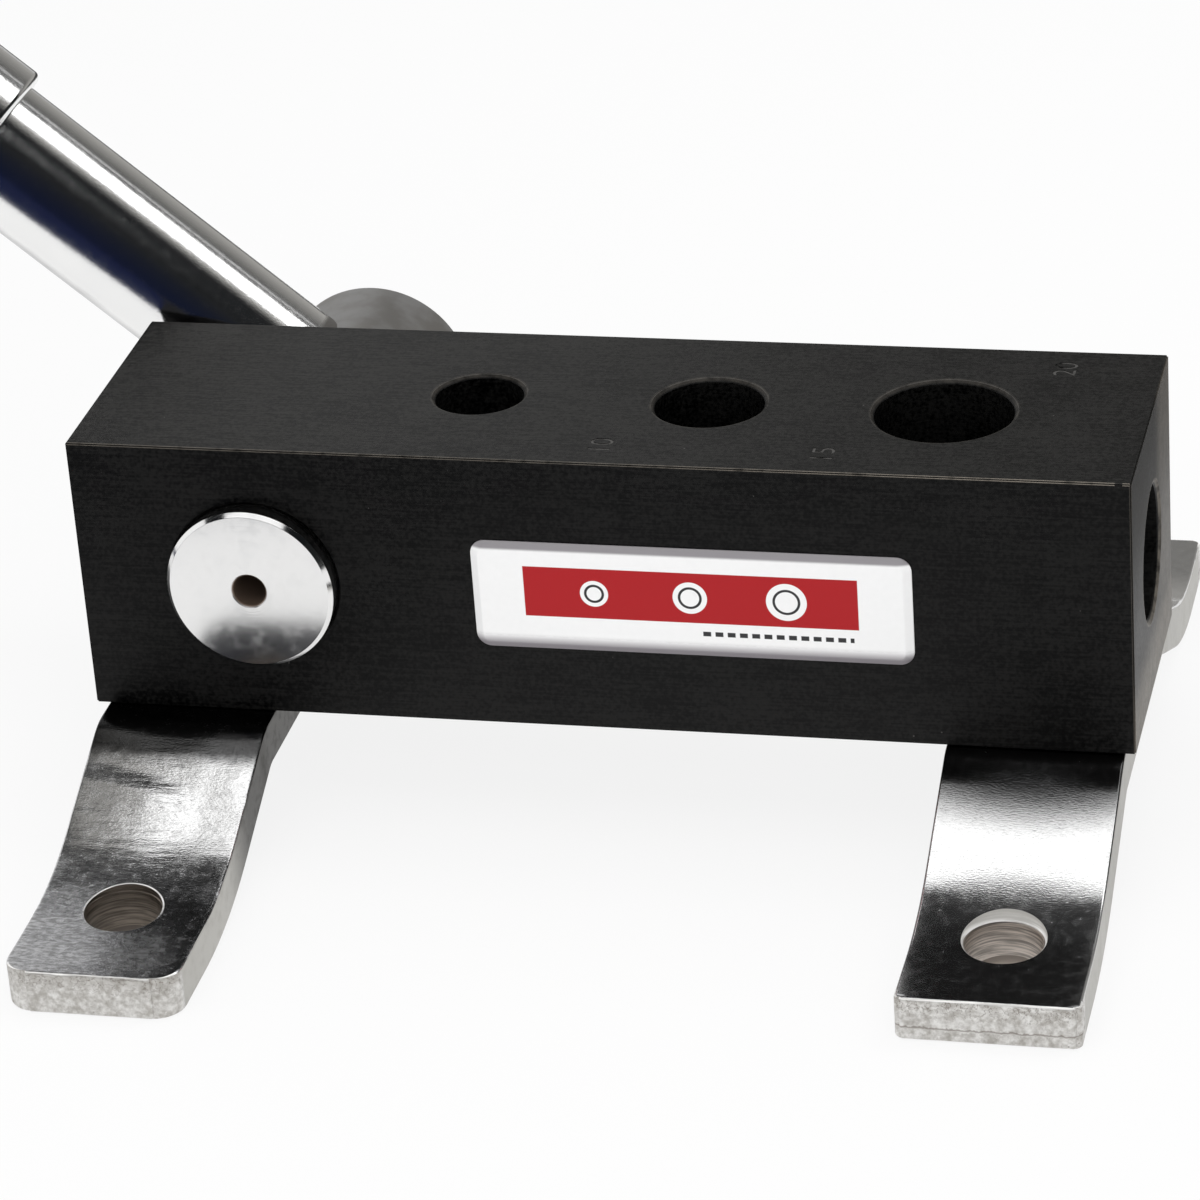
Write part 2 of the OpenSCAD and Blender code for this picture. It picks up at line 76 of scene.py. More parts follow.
# Print on the plate, in millimetres from its middle: red bar, pipe ends in it, dashes below it
BAR_HALF_LENGTH = 33
BAR_HALF_HEIGHT = 5.4
BAR_RISE = 1.4
PIPE_ENDS = [(-19, 2.8), (0, 3.4), (19, 4)]
PIPE_BORE_SHARE = 0.62
DASHES_MIDDLE = (17, -6.3)
DASHES_HALF = (15, 0.5)
DASH_WAVES = 2.6
PRINT_BLUR = 0.06

# Foot straps
STRAP_T = 9 * MM
STRAP_EDGE_R = 0.6 * MM
STRAP_END_R = 0.6 * MM
STRAP_COLUMNS = 15
STRAP_STEP = 2.6 * MM
STRAP_SLOPE = radians(24.5)
BEND_STEPS = 14
LEFT_STRAP = {"corner_r": 5 * MM, "seat_half": 28.5 * MM, "upper_r": 10.5 * MM,
              "lower_r": 70 * MM, "waves": 0.45 * MM, "chamfer": 0.12 * MM, "flare": 0}
RIGHT_STRAP = {"corner_r": 1 * MM, "seat_half": 27.5 * MM, "upper_r": 7.5 * MM,
               "lower_r": 66 * MM, "waves": 0.08 * MM, "chamfer": 0.5 * MM, "flare": 0.9 * MM}
BENCH_MOUTH_RISE = 2.5 * MM
FOOT_SCREW_HOLE_R = 4.5 * MM
FOOT_SCREW_HALF_PITCH = 16 * MM
WAVE_LENGTH = 13 * MM
WAVES_CLEAR_OF_SEAT = 2 * MM
WAVES_CLEAR_OF_HOLE = 1.4

# Plating of the straps: the left one is worn and grimy, the right one smooth and sheared off; both have shade
# painted beside the block and on their side faces near it, far more on the left
LEFT_PLATING = {"blur": 0.16, "wave_depth": 0.06, "grit": 1, "lean": 0, "worn": 1,
                "painted_side_shade": 0.9, "sheared": 0, "shade_end": 41, "bore_light": (0.36, 0.31, 0.26)}
RIGHT_PLATING = {"blur": 0.17, "wave_depth": 0.03, "grit": 0.3, "lean": 0.1, "worn": 0,
                 "painted_side_shade": 0.1, "sheared": 0.6, "shade_end": 51,
                 "bore_light": (0.86, 0.78, 0.71)}
BORE_DARK_SHARE = 0.42

# Lever: distances run out from the shaft axis
LEVER_ANGLE = radians(40)
LEVER_Y = 46 * MM
HUB_R = 20 * MM
STUB_R = 14 * MM
STUB_REACH = 165 * MM
STUB_EDGE = 0.8 * MM
SPIGOT_R = 8 * MM
SPIGOT_FOOT = 5 * MM
SLEEVE_R = 17.15 * MM
SLEEVE_BORE_R = 14.05 * MM
SLEEVE_START = 94.7 * MM
SLEEVE_END = 479.7 * MM
SLEEVE_EDGE = 1 * MM
SET_SCREW_R = 4.05 * MM
SET_SCREW_REACH = 122.7 * MM
GRIP_R = 19.7 * MM
GRIP_BORE_R = 17.2 * MM
GRIP_START = 364.7 * MM
GRIP_END = 484.7 * MM
GRIP_LIP = 1.2 * MM
GRIP_DOME = 4 * MM
SEAT_GAP = 0.05 * MM
SHAFT_EDGE_R = 0.22 * MM
HUB_EDGE_R = 0.3 * MM

TURNED_SIDES = 128
DRILL_SIDES = 48
BENCH_DRILL_SIDES = 72
SPIGOT_SIDES = 64
PAST = 1 * MM
CLOSE = 0.01 * MM
MERGE = 0.001 * MM

# Colours of the finishes
BARE_STEEL = (0.47, 0.42, 0.355)
DULL_GREY = (0.30, 0.29, 0.28)
OXIDE_DARK = (0.0003, 0.0003, 0.0003)
OXIDE_LIGHT = (0.0080, 0.0078, 0.0074)
# Painted light on the block's top face
OXIDE_PAINTED_TOP_LIGHT = (0.028, 0.0275, 0.026)
CHROME_DARK = (0.84, 0.84, 0.84)
CHROME_LIGHT = (0.91, 0.91, 0.90)
# Painted shade along the lever's underside
CHROME_PAINTED_UNDER_SHADE = (0.14, 0.14, 0.15)
STRAP_LIGHT = (0.78, 0.78, 0.78)
# Painted shade: near black on the straps beside the block
STRAP_SHADE = (0.04, 0.04, 0.04)
STRAP_SIDE = (0.50, 0.49, 0.46)
# Painted shade on the straps' side faces near the block
STRAP_SIDE_SHADE = (0.045, 0.043, 0.04)
TAB_DARK = (0.42, 0.42, 0.42)
TAB_LIGHT = (0.95, 0.95, 0.97)
# Painted highlight on the straps' worn edges, hole mouths and end lips
RIM_HIGHLIGHT_DARK = (0.66, 0.65, 0.63)
RIM_HIGHLIGHT_LIGHT = (1, 0.99, 0.97)
FROST_DARK = (0.42, 0.40, 0.37)
FROST_LIGHT = (0.84, 0.83, 0.81)
RUST = (0.15, 0.12, 0.095)
SHAFT_DARK = (0.79, 0.785, 0.78)
SHAFT_LIGHT = (0.89, 0.89, 0.885)
SHAFT_BORE = (0.20, 0.145, 0.11)
HUB_DARK = (0.33, 0.32, 0.305)
HUB_LIGHT = (0.43, 0.425, 0.42)
PLATE_DARK = (0.93, 0.93, 0.93)
PLATE_LIGHT = (0.97, 0.97, 0.97)
# Painted shade on the long edges of the plate's dome
PLATE_PAINTED_EDGE_SHADE = (0.27, 0.25, 0.27)
PRINT_RED = (0.42, 0.004, 0.008)
PRINT_BLACK = (0.03, 0.03, 0.032)
VINYL_DARK = (0.012, 0.012, 0.012)
VINYL_LIGHT = (0.026, 0.026, 0.027)

# Stage: paper floor with brown shade painted under the bench holes, and the cards seen in gloss
WHITE = (1, 1, 1)
PAPER = (0.85, 0.85, 0.85)
# Painted shade: brown on the floor below the bench holes, seen by the camera alone
LEFT_HOLE_PAINTED_SHADE = (0.26, 0.225, 0.195)
RIGHT_HOLE_PAINTED_SHADE = (0.46, 0.40, 0.35)
BLACK = (0.008, 0.009, 0.010)
DARK = (0.014, 0.015, 0.015)
DARK_BLUE = (0.012, 0.016, 0.046)
BLACK_BLUE = (0.006, 0.009, 0.026)
DIM = (0.06, 0.06, 0.06)
PALE = (0.42, 0.41, 0.39)
LIGHT = (0.62, 0.62, 0.62)
FLOOR_SIZE = 12
FLOOR_GAP = 0.3 * MM
FLOOR_GLOW = 0.85
AMBIENT = 0.62
HOLE_SHADE = (4 * MM, 5 * MM)
UPRIGHT = pi / 2
FLAT = (0, 0, 0)

# Camera, solved from the edges of the block in the photograph
SENSOR_WIDTH = 36
LENS = 151.127
CAMERA_PLACE = (0.21863, -0.87135, 0.50342)
CAMERA_TURN = (62.61697, 3.70866, 12.56714)


# Modelling by hand

def alone(piece):
    """Makes a piece the one selected and active object."""
    bpy.ops.object.select_all(action="DESELECT")
    piece.select_set(True)
    bpy.context.view_layer.objects.active = piece


def start(name, primitive, **settings):
    """Adds a primitive and names it."""
    bpy.ops.object.select_all(action="DESELECT")
    primitive(**settings)
    piece = bpy.context.object
    piece.name = name
    piece.data.name = name
    return piece


def apply_place(piece):
    alone(piece)
    bpy.ops.object.transform_apply(location=True, rotation=True, scale=True)


def put(piece, matrix):
    piece.matrix_world = matrix
    apply_place(piece)
    return piece


def edit(piece):
    alone(piece)
    bpy.ops.object.mode_set(mode="EDIT")
    bpy.ops.mesh.select_all(action="SELECT")


def done():
    bpy.ops.object.mode_set(mode="OBJECT")


def close_up():
    """Joins the loose points of a shape in edit mode and turns its faces out."""
    bpy.ops.mesh.select_all(action="SELECT")
    bpy.ops.mesh.remove_doubles(threshold=MERGE)
    bpy.ops.mesh.normals_make_consistent(inside=False)
    done()


def pick_edges(piece, wanted):
    """Selects the edges in edit mode that a test accepts."""
    bpy.ops.mesh.select_mode(type="EDGE")
    bpy.ops.mesh.select_all(action="DESELECT")
    shape = bmesh.from_edit_mesh(piece.data)
    for edge in shape.edges:
        edge.select_set(wanted(edge))
    bmesh.update_edit_mesh(piece.data)


def modify(piece, kind, **settings):
    """Adds a modifier with its settings and applies it."""
    alone(piece)
    modifier = piece.modifiers.new(kind.title(), kind)
    for name, value in settings.items():
        setattr(modifier, name, value)
    bpy.ops.object.modifier_apply(modifier=modifier.name)


def soften(piece, width, angle=30):
    """Rounds the edges sharper than an angle."""
    modify(piece, "BEVEL", width=width, segments=3, limit_method="ANGLE",
           angle_limit=radians(angle))


def boolean(piece, tool, operation="DIFFERENCE"):
    modify(piece, "BOOLEAN", object=tool, operation=operation, solver="EXACT")
    bpy.data.objects.remove(tool)


def smooth(piece, angle=40):
    """Smooths all but the sharp edges, and keeps broad faces flat."""
    alone(piece)
    bpy.ops.object.shade_smooth_by_angle(angle=radians(angle))
    modify(piece, "WEIGHTED_NORMAL", keep_sharp=True)


def extrude(way):
    bpy.ops.mesh.extrude_region_move(TRANSFORM_OT_translate={"value": way})


def turned(name, rings, hollow=False, sides=TURNED_SIDES):
    """Round piece about +Z, drawn out ring by ring; a ring is its radius and its height."""
    (first_r, first_h), rest = rings[0], rings[1:]
    fill = "NOTHING" if hollow else "NGON"
    piece = start(name, bpy.ops.mesh.primitive_circle_add, vertices=sides, radius=first_r,
                  fill_type=fill, location=(0, 0, first_h))
    apply_place(piece)
    edit(piece)
    radius, height = first_r, first_h
    for next_r, next_h in rest + rings[:1] * hollow:
        extrude((0, 0, next_h - height))
        scale = next_r / radius
        bpy.ops.transform.resize(value=(scale, scale, 1), center_override=(0, 0, next_h))
        radius, height = next_r, next_h
    close_up()
    return piece


def on_lever(piece):
    """Moves a piece drawn along +Z from the shaft axis out along the lever."""
    foot = Vector((PIVOT.x, LEVER_Y, PIVOT.z))
    return put(piece, Matrix.Translation(foot) @ Matrix.Rotation(LEVER_ANGLE - pi / 2, 4, "Y"))


def merged_copy(name, node):
    """Copy of a frame node with its loose triangles joined."""
    piece = bpy.data.objects.new(name, frame["nodes"][node].data.copy())
    bpy.context.scene.collection.objects.link(piece)
    edit(piece)
    bpy.ops.mesh.remove_doubles(threshold=MERGE)
    bpy.ops.mesh.customdata_custom_splitnormals_clear()
    bpy.ops.mesh.dissolve_limited(angle_limit=radians(0.5))
    done()
    return piece


def softened_copy(name, node, width):
    piece = merged_copy(name, node)
    soften(piece, width)
    smooth(piece)
    return piece


# Shader arithmetic

def live_socket(sockets, key):
    live = [socket for socket in sockets if socket.enabled]
    if isinstance(key, int):
        return live[key]
    return next(socket for socket in live if socket.name == key)


class Value:
    """A number that varies over a surface; arithmetic on it adds Math nodes."""

    def __init__(self, shading, socket):
        self.shading = shading
        self.socket = socket

    def math(self, operation, *others):
        return self.shading.node("ShaderNodeMath", {"operation": operation}, [self, *others])

    def __add__(self, other):
        return self.math("ADD", other)

    def __sub__(self, other):
        return self.math("SUBTRACT", other)

    def __rsub__(self, other):
        return self.shading.node("ShaderNodeMath", {"operation": "SUBTRACT"}, [other, self])

    def __mul__(self, other):
        return self.math("MULTIPLY", other)

    def __abs__(self):
        return self.math("ABSOLUTE")

    __radd__ = __add__
    __rmul__ = __mul__

    def over(self, other):
        """The larger of two values."""
        return self.math("MAXIMUM", other)

    def hypot(self, other):
        """Distance from the line where this and another coordinate are 0."""
        return (self * self + other * other).math("SQRT")

    def rise(self, low, high):
        """0 up to low, 1 from high, smooth between."""
        return self.shading.node("ShaderNodeMapRange", {"interpolation_type": "SMOOTHSTEP"},
                                 {"Value": self, "From Min": low, "From Max": high})

    def fall(self, low, high):
        """1 up to low, 0 from high, smooth between."""
        return 1 - self.rise(low, high)


class Shading:
    """Adds nodes to a node tree."""

    def __init__(self, tree):
        self.tree = tree

    def node(self, kind, settings=None, inputs=(), output=0):
        made = self.tree.nodes.new(kind)
        for name, setting in (settings or {}).items():
            setattr(made, name, setting)
        pairs = inputs.items() if isinstance(inputs, dict) else enumerate(inputs)
        for key, value in pairs:
            self.feed(live_socket(made.inputs, key), value)
        return Value(self, live_socket(made.outputs, output))

    def feed(self, socket, value):
        if isinstance(value, Value):
            self.tree.links.new(value.socket, socket)
        elif socket.type == "RGBA":
            socket.default_value = (*value, 1)
        else:
            socket.default_value = value

    def own_place(self):
        """Place in the object's own coordinates, in metres."""
        return self.node("ShaderNodeTexCoord", output="Object")

    def axis(self, vector, index):
        return self.node("ShaderNodeSeparateXYZ", inputs=[vector], output=index)

    def ray(self, kind):
        return self.node("ShaderNodeLightPath", output=kind)

    def mix(self, factor, first, second):
        return self.node("ShaderNodeMix", {"data_type": "RGBA"},
                         {"Factor": factor, "A": first, "B": second}, "Result")


class Finish(Shading):
    """A material of one shader, with its pattern measured in millimetres of the frame."""

    def __init__(self, name, constants=None):
        self.material = bpy.data.materials.new(name)
        self.material.use_nodes = True
        super().__init__(self.material.node_tree)
        self.shader = self.tree.nodes["Principled BSDF"]
        for socket, value in (constants or {}).items():
            self.feed(self.shader.inputs[socket], value)
        self.place = self.node("ShaderNodeVectorMath", {"operation": "SCALE"},
                               {"Vector": self.own_place(), "Scale": 1 / MM})
        self.x, self.y, self.z = (self.axis(self.place, index) for index in range(3))

    def stretched(self, stretch):
        return self.node("ShaderNodeVectorMath", {"operation": "MULTIPLY"}, [self.place, stretch])

    def noise(self, scale, detail, place=None):
        """Cloud value about 0.5, with the scale in waves to the millimetre."""
        return self.node("ShaderNodeTexNoise", None,
                         {"Vector": place or self.place, "Scale": scale, "Detail": detail})

    def lines(self, value, scale, detail):
        """Cloud value about 0.5 that changes along one value alone."""
        return self.node("ShaderNodeTexNoise", {"noise_dimensions": "1D"},
                         {"W": value, "Scale": scale, "Detail": detail})

    def spots(self, scale, size):
        """Round spots, one to a cell, with their radius as a share of the cell."""
        distance = self.node("ShaderNodeTexVoronoi", None,
                             {"Vector": self.place, "Scale": scale})
        return distance.fall(size * 0.6, size)

    def upright(self):
        """How far the surface faces up, from -1 to 1."""
        return self.axis(self.node("ShaderNodeNewGeometry", output="Normal"), 2)

    def bump(self, height, depth):
        """Relief of a depth in millimetres for a height from 0 to 1."""
        return self.node("ShaderNodeBump", None, {"Distance": depth * MM, "Height": height})

    def lay(self, **inputs):
        for name, value in inputs.items():
            self.feed(self.shader.inputs[name.replace("_", " ").title()], value)
        return self.material


# Finishes

class BlockFinish(Finish):
    """Satin black steel with a fine grain, worn at its edges, hole mouths and right end."""

    EDGE = (-0.5, -0.25)

    def __init__(self):
        super().__init__("black_oxide", {"Specular IOR Level": 0.18})
        self.middle, self.half = BLOCK_MIDDLE / MM, (BLOCK_HIGH - BLOCK_MIDDLE) / MM
        self.cloud = self.noise(0.06, 4)
        self.grain = self.noise(1.3, 4)
        self.brushed = self.noise(1, 3, self.stretched((0.10, 2.6, 2.6)))
        self.patchy = self.noise(0.35, 5)
        self.past_front = self.middle.y - self.half.y - self.y
        self.past_top = self.z - self.middle.z - self.half.z
        self.past_right = self.x - self.middle.x - self.half.x
        self.right_end = self.past_right.rise(-0.4, -0.1)

    def edge_wear(self):
        """Front top edge, rubbed more to the right, and the right front corner."""
        edge = (self.past_front + self.past_top).rise(*self.EDGE)
        edge = edge * (0.45 + self.x.rise(-20, 100) * 0.55)
        corner = (self.past_front + self.past_right).rise(*self.EDGE)
        return (edge * (0.3 + self.patchy.rise(0.25, 0.55) * 0.7) * 0.7).over(corner * 0.14)

    def pipe_mouth_wear(self, mount):
        along, across = (Vector(mount["pos_m"]) / MM).xy
        past_wall = (self.x - along).hypot(self.y - across) - mount["dims"]["r_mm"]
        rim = past_wall.rise(0.05, 0.3) * past_wall.fall(0.7, 1.1)
        return rim * self.past_top.rise(-1.5, -0.2) * self.patchy.rise(0.2, 0.7) * 0.08

    def end_wear(self):
        """Bare steel low down and at the back of the right end."""
        low = self.z.fall(self.middle.z - 24, self.middle.z - 12)
        back = (self.y + self.cloud * 8 - 4).rise(self.middle.y + 4, self.middle.y + 17)
        bare = 0.16 + self.patchy.rise(0.3, 0.7) * 0.1 + self.cloud * 0.12
        bare = bare + self.brushed.rise(0.4, 0.6) * 0.04
        return self.right_end * (0.02 + bare * low.over(back * 0.5))

    def bore_rim_wear(self):
        """Chamfer round the ram's bore in the right end."""
        ram_low, ram_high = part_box("punch_ram")
        bore_r = (ram_high.z - ram_low.z) / 2 / MM
        past_bore = (self.y - self.middle.y).hypot(self.z - self.middle.z) - bore_r
        rim = past_bore.rise(0.2, 0.4) * past_bore.fall(0.9, 1.3) * self.patchy.rise(0.2, 0.6)
        return rim * self.past_right.rise(-1.5, -1.2) * 0.3

    def wear(self):
        worn = self.edge_wear().over(self.end_wear()).over(self.bore_rim_wear())
        for mount in PIPE_HOLES:
            worn = worn.over(self.pipe_mouth_wear(mount))
        return worn

    def oxide(self):
        """Grained black, with lighter grey painted on the top face where light falls, more to the left, with dust
        and pale stamped numbers.
        """
        shade = (self.cloud * 0.2 + self.grain * 0.5 + self.brushed * 0.3).rise(0.40, 0.60)
        base = self.mix(shade, OXIDE_DARK, OXIDE_LIGHT)
        # Painted light: the top face is lighter grey, more so to the left
        painted_top_light = self.past_top.rise(-0.3, -0.1) * (0.9 - self.x.rise(-80, 100) * 0.5)
        base = self.mix(painted_top_light * (0.3 + shade * 0.7), base, OXIDE_PAINTED_TOP_LIGHT)
        dust = self.spots(0.22, 0.05) * self.patchy.rise(0.55, 0.62)
        stamped = self.past_top.rise(-0.16, -0.13) * self.past_top.fall(-0.11, -0.08)
        stamped = stamped * self.patchy.rise(0.3, 0.5)
        return self.mix((dust * 0.2).over(stamped * 0.25), base, DULL_GREY)


def black_oxide():
    finish = BlockFinish()
    worn = finish.wear()
    high_end = finish.z.rise(finish.middle.z - 10, finish.middle.z + finish.half.z)
    high_end = high_end * finish.right_end
    return finish.lay(
        base_color=finish.mix(worn, finish.oxide(), BARE_STEEL),
        metallic=worn * 0.4,
        roughness=0.30 + finish.grain * 0.2 + finish.cloud * 0.1 + high_end * 0.25,
        normal=finish.bump(finish.grain * 0.6 + finish.brushed * 0.4, 0.05))


def lever_chrome():
    """Polished bar with faint polishing lines round it, with dark shade painted along its underside, and dull
    where it meets the hub.
    """
    finish = Finish("lever_chrome")
    pivot = PIVOT / MM
    from_x, from_z = finish.x - pivot.x, finish.z - pivot.z
    along = from_x * -cos(LEVER_ANGLE) + from_z * sin(LEVER_ANGLE)
    above = from_x * sin(LEVER_ANGLE) + from_z * cos(LEVER_ANGLE)
    polish = finish.lines(along, 0.9, 3)
    haze = finish.noise(0.08, 4)
    scuffs = finish.noise(0.7, 4)
    grain = finish.noise(2.4, 4)
    # Painted shade: the underside of the lever below its axis is darkened
    under = (above + (haze - 0.5) * 4).fall(-12.5, -7.5)
    root = along.fall(16.8, 18)
    base = finish.mix(haze, CHROME_DARK, CHROME_LIGHT)
    base = finish.mix(under * 0.9, base, CHROME_PAINTED_UNDER_SHADE)
    return finish.lay(
        base_color=finish.mix(root, base, DULL_GREY),
        metallic=1.0,
        roughness=0.13 + scuffs.rise(0.5, 0.8) * 0.06 + haze * 0.04 + root * 0.3,
        normal=finish.bump(scuffs * 0.4 + polish * 0.2 + grain * 0.4, 0.030))


class StrapFinish(Finish):
    """Plated forged strap: blurred bright top with pits, frosted ends and drilled holes, with shade painted beside
    the block and on the sides near it, and highlights painted on its edges.

    Distances run out from the strap's middle to either end, and across it from its middle line.
    """

    def __init__(self, name, node, mount, worn, shade_end):
        super().__init__(name)
        self.worn = worn
        middle = Vector(mount["pos_m"]) / MM
        self.across, self.out = self.x - middle.x, abs(self.y - middle.y)
        self.mottle = self.noise(0.45, 5)
        self.pits = self.noise(1, 3, self.stretched((1.6, 3, 3)))
        self.crust = self.noise(1.1, 6)
        self.rings = self.noise(1, 4, self.stretched((0.12, 0.12, 2.4)))
        self.find_zones(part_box(node)[1].y / MM - middle.y, mount["dims"])
        bowed = self.out + self.across * self.across * (1 - worn) * 0.006
        # Painted shade: the strap's top beside the block is darkened nearly to black
        self.painted_block_shade = (bowed + self.mottle * 2.5 - 1.2).fall(37, shade_end)
        self.slope = self.out.rise(32, 38) * self.out.fall(60, 68)

    def find_zones(self, end_out, dims):
        """Walls, edges worn and painted bright as highlights, drilled holes, and the patch rubbed beyond the hole.
        """
        hole_r, reach = dims["hole_r_mm"], dims["spacing_y_mm"] / 2
        facing_up = abs(self.upright())
        bore = self.across.hypot(self.out - reach)
        self.drilled = bore.fall(hole_r + 0.16, hole_r + 0.22)
        self.wall = facing_up.fall(0.3, 0.6) * (1 - self.drilled)
        self.end = self.wall * self.out.rise(end_out - 5.5, end_out - 4)
        self.side = self.wall * (1 - self.end)
        # Painted highlight: end lip, hole mouth and far rim are laid near white
        lip = facing_up.fall(0.88, 0.96) * (1 - self.wall) * self.out.rise(end_out - 4, end_out - 2)
        mouth = bore.fall(hole_r + 2, hole_r + 2.4) * facing_up.fall(0.82, 0.92)
        rim = bore.fall(hole_r + 0.4, hole_r + 0.6) * (reach - self.out).rise(-3, 2) * self.worn
        self.highlight_and_worn_edge = lip.over(mouth).over(rim) * (1 - self.drilled)
        rub = (self.across - 5.5).hypot(self.out - reach - 13.5)
        self.scoured = rub.fall(2, 15) * self.across.rise(-5, 9) * (0.85 + self.mottle * 0.3)
        self.scoured = self.scoured * self.worn

    def tone(self, painted_side_shade, sheared, bore_light):
        dull = 0.62 - self.worn * 0.12
        base = self.mix(self.mottle, (dull, dull, dull), STRAP_LIGHT)
        tab_grain = self.noise(0.6, 7, self.stretched((1, 2.2, 2.2))).rise(0.3, 0.7)
        tab_tone = self.mix(tab_grain, TAB_DARK, TAB_LIGHT)
        base = self.mix(self.out.rise(58, 70) * self.worn * 0.8, base, tab_tone)
        # Painted shade: near black beside the block
        base = self.mix(self.painted_block_shade * 0.94, base, STRAP_SHADE)
        # Painted highlight on the worn edges
        base = self.mix(self.highlight_and_worn_edge, base,
                        self.mix(self.rings.rise(0.4, 0.6), RIM_HIGHLIGHT_DARK, RIM_HIGHLIGHT_LIGHT))
        base = self.mix(self.side, base, STRAP_SIDE)
        # Painted shade: side faces darkened near the block, strongly on the left strap
        base = self.mix(self.side * self.out.fall(46, 66) * painted_side_shade, base, STRAP_SIDE_SHADE)
        base = self.frosted(base, sheared)
        bore_dark = [tone * BORE_DARK_SHARE for tone in bore_light]
        drill_mark = self.mix(self.rings.rise(0.35, 0.65), bore_dark, bore_light)
        return self.mix(self.drilled, base, drill_mark)

    def frosted(self, base, sheared):
        """Lays the patchy end face, with its rust and the line where it was sheared."""
        patches = (self.noise(0.4, 4) * 0.5 + self.crust * 0.5).rise(0.3, 0.7)
        clean = patches * (1 - self.z.rise(5, 8.5) * self.worn * 0.5)
        base = self.mix(self.end, base, self.mix(clean, FROST_DARK, FROST_LIGHT))
        veins = abs(self.noise(0.9, 5) - 0.5).fall(0.008, 0.03)
        specks = self.spots(0.6, 0.14) * self.crust.rise(0.45, 0.55)
        stain = (veins * (0.15 + self.z.rise(4, 8) * 0.5)).over(specks * 0.5)
        from_line = abs(self.z - 3.4 + patches * 0.5 + self.mottle * 0.6)
        shear = from_line.fall(0.08, 0.3) * sheared
        return self.mix(self.end * stain.over(shear), base, RUST)

    def roughness(self, blur, grit):
        uneven = self.mottle.rise(0.45, 0.7) * 0.10 + self.pits.rise(0.56, 0.7) * 0.08
        plain = blur + uneven * (0.45 + grit * 0.55)
        faces = self.wall * 0.25 + self.end * 0.1 + self.drilled * 0.25
        return plain + faces + self.highlight_and_worn_edge * 0.2 + self.scoured * 0.12

    def relief(self, wave_depth, grit, lean):
        """Height in millimetres: waves and pits all over, and the forged shape of the slope."""
        smooth_side = 1 - self.worn
        square = self.across * self.across
        pitted = (self.mottle * 0.02 + self.pits * 0.03) * (1 - self.wall) * grit
        height = self.noise(0.10, 2) * wave_depth + pitted - self.across * lean
        height = height + self.pits * self.slope * smooth_side * 0.02
        step = (self.out - self.across * 0.17).rise(43, 48) * self.across.fall(-4, 10) * self.worn
        height = height - square * self.slope * self.worn * 0.0014 + step * 0.45
        streaks = self.noise(1, 4, self.stretched((0.10, 0.55, 0.55))) * self.slope
        height = height + streaks * (1 - self.across.rise(2, 10) * 0.7) * self.worn * 0.10
        height = height - square * (self.out - 53) * self.slope * smooth_side * 0.00012
        crusted = self.end * (self.mottle * 0.05 + self.crust * 0.12)
        height = height + self.side * self.mottle * 0.02 + crusted
        return height + self.drilled * self.rings * 0.03


def strap_chrome(name, node, mount, blur, wave_depth, grit, lean, worn, painted_side_shade, sheared,
                 shade_end, bore_light):
    finish = StrapFinish(name, node, mount, worn, shade_end)
    return finish.lay(
        base_color=finish.tone(painted_side_shade, sheared, bore_light),
        metallic=1.0 - finish.end * 0.5 - finish.highlight_and_worn_edge * 0.8,
        roughness=finish.roughness(blur, grit),
        normal=finish.bump(finish.relief(wave_depth, grit, lean), 1))


def faced_steel():
    """Bright turned shaft with faint facing rings about its axis and a small rusty centre hole."""
    finish = Finish("shaft_steel")
    pivot = PIVOT / MM
    radius = (finish.x - pivot.x).hypot(finish.z - pivot.z)
    rings = finish.lines(radius, 3.0, 2)
    mottle = finish.noise(0.35, 4)
    bore = radius.fall(3.4, 3.75)
    base = finish.mix(mottle, SHAFT_DARK, SHAFT_LIGHT)
    return finish.lay(
        base_color=finish.mix(bore, base, SHAFT_BORE),
        metallic=1.0 - bore * 0.4,
        roughness=0.12 + mottle.rise(0.45, 0.7) * 0.05 + bore * 0.35,
        normal=finish.bump(rings * 0.7 + mottle * 0.3, 0.002))


def dull_steel():
    """Bare turned collar, dull and blotchy."""
    finish = Finish("hub_steel")
    blotches = finish.noise(0.14, 4).rise(0.35, 0.65)
    grain = finish.noise(1.8, 3)
    return finish.lay(
        base_color=finish.mix(blotches, HUB_DARK, HUB_LIGHT),
        metallic=0.9,
        roughness=0.42 + blotches * 0.08 + grain * 0.06,
        normal=finish.bump(grain * 0.5 + blotches * 0.5, 0.02))


def printed(distance):
    """1 where a distance past the edge of a printed shape is below 0."""
    return distance.fall(-PRINT_BLUR, PRINT_BLUR)


